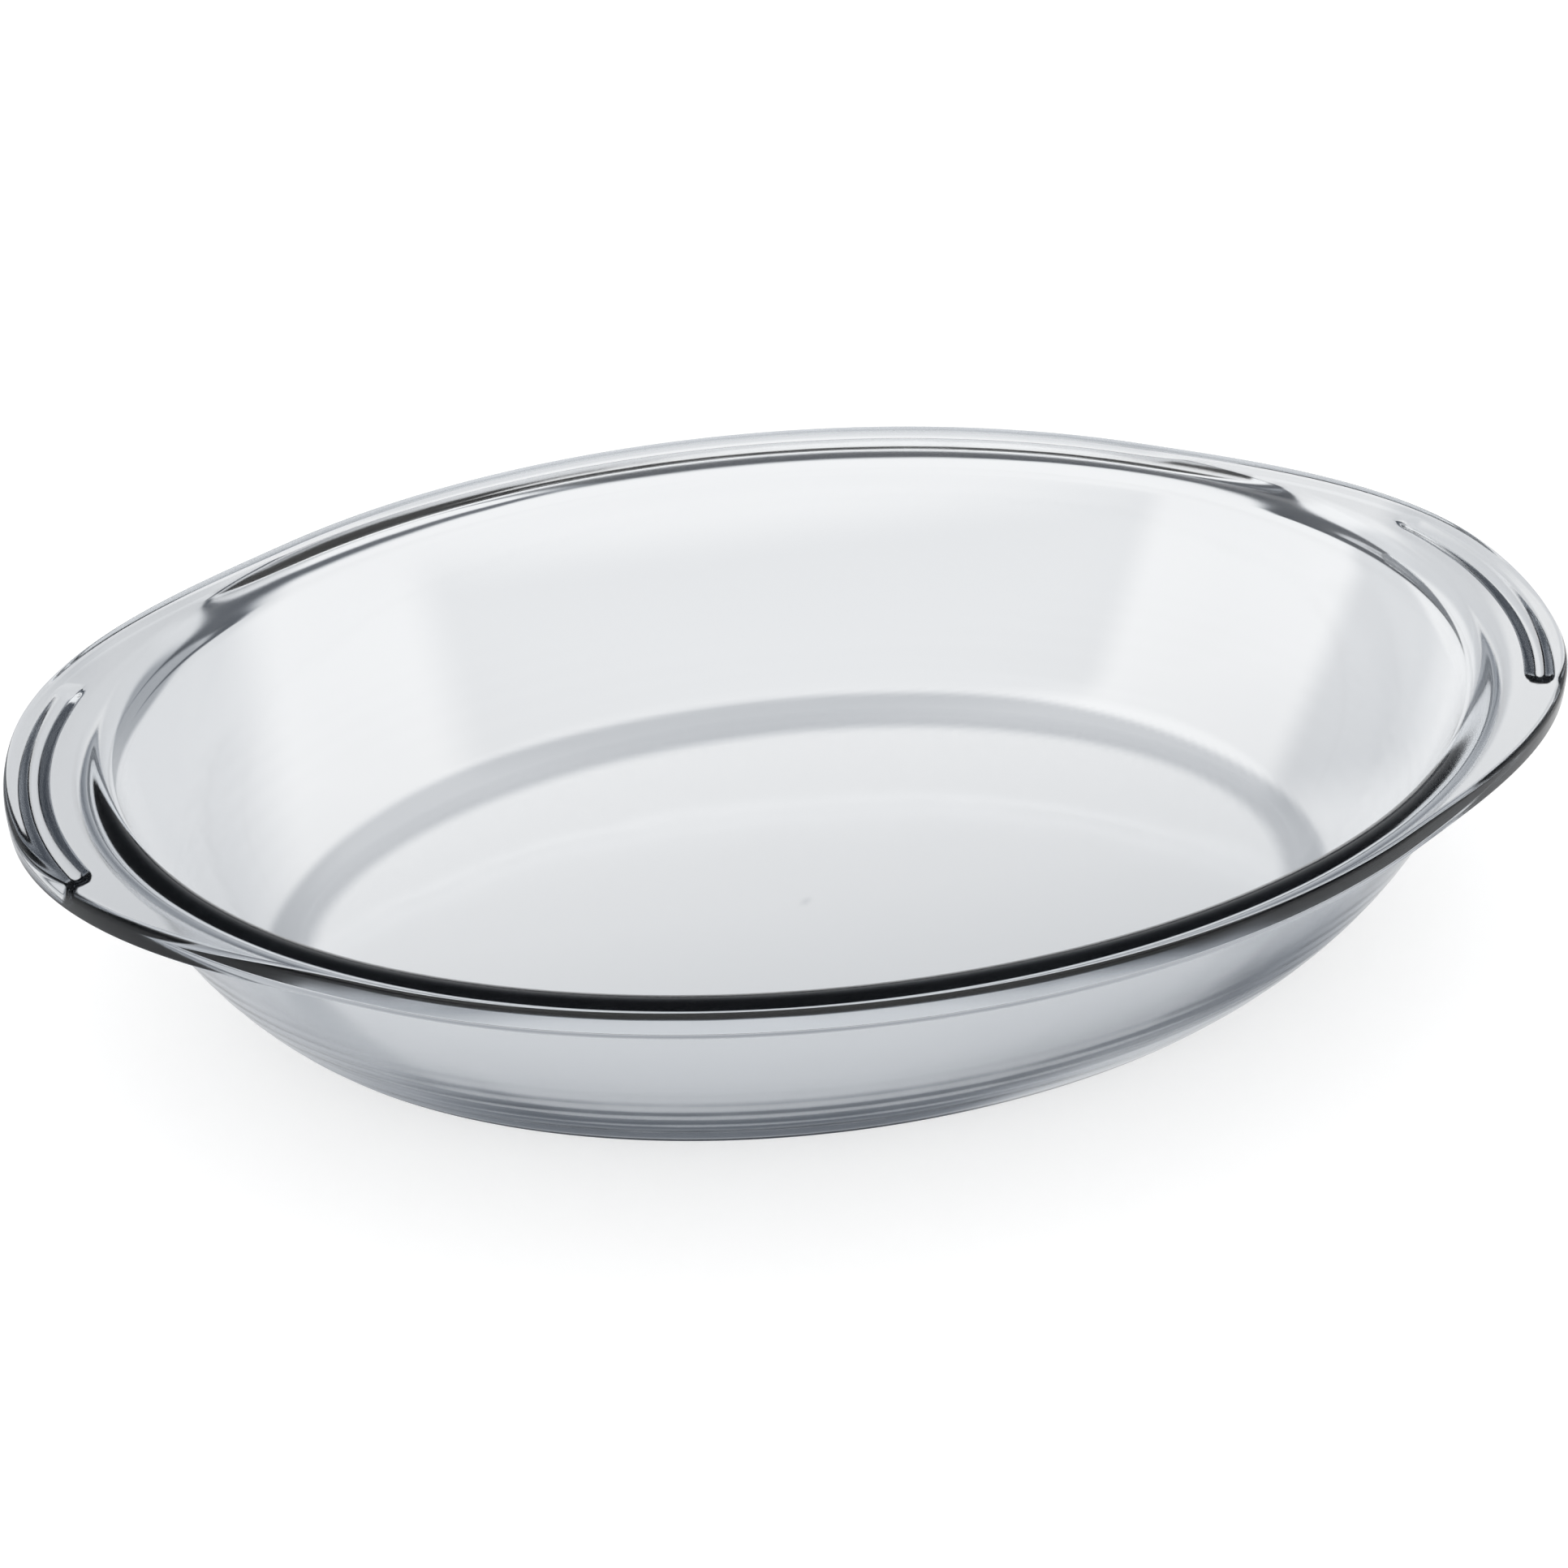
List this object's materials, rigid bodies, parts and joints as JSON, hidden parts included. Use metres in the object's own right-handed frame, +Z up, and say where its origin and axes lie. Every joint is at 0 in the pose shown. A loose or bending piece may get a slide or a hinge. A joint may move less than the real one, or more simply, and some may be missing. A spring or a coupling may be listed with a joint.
{
  "type": "oval baking dish",
  "caption": "Oval clear glass baking dish with a sloping wall, a flat floor and a flat rim that widens into a handle at each end.",
  "frame": {"origin": "centre of the flat base, on the surface the dish stands on", "axes": "+X along the dish from handle to handle, +Y across it, +Z up out of the bowl"},
  "size_m": [0.35, 0.238, 0.0656],
  "materials": {
    "clear_glass": "smooth pressed clear glass with a very slight cool grey tint"
  },
  "bodies": {
    "root": {"dish": "clear_glass"}
  },
  "joints": []
}
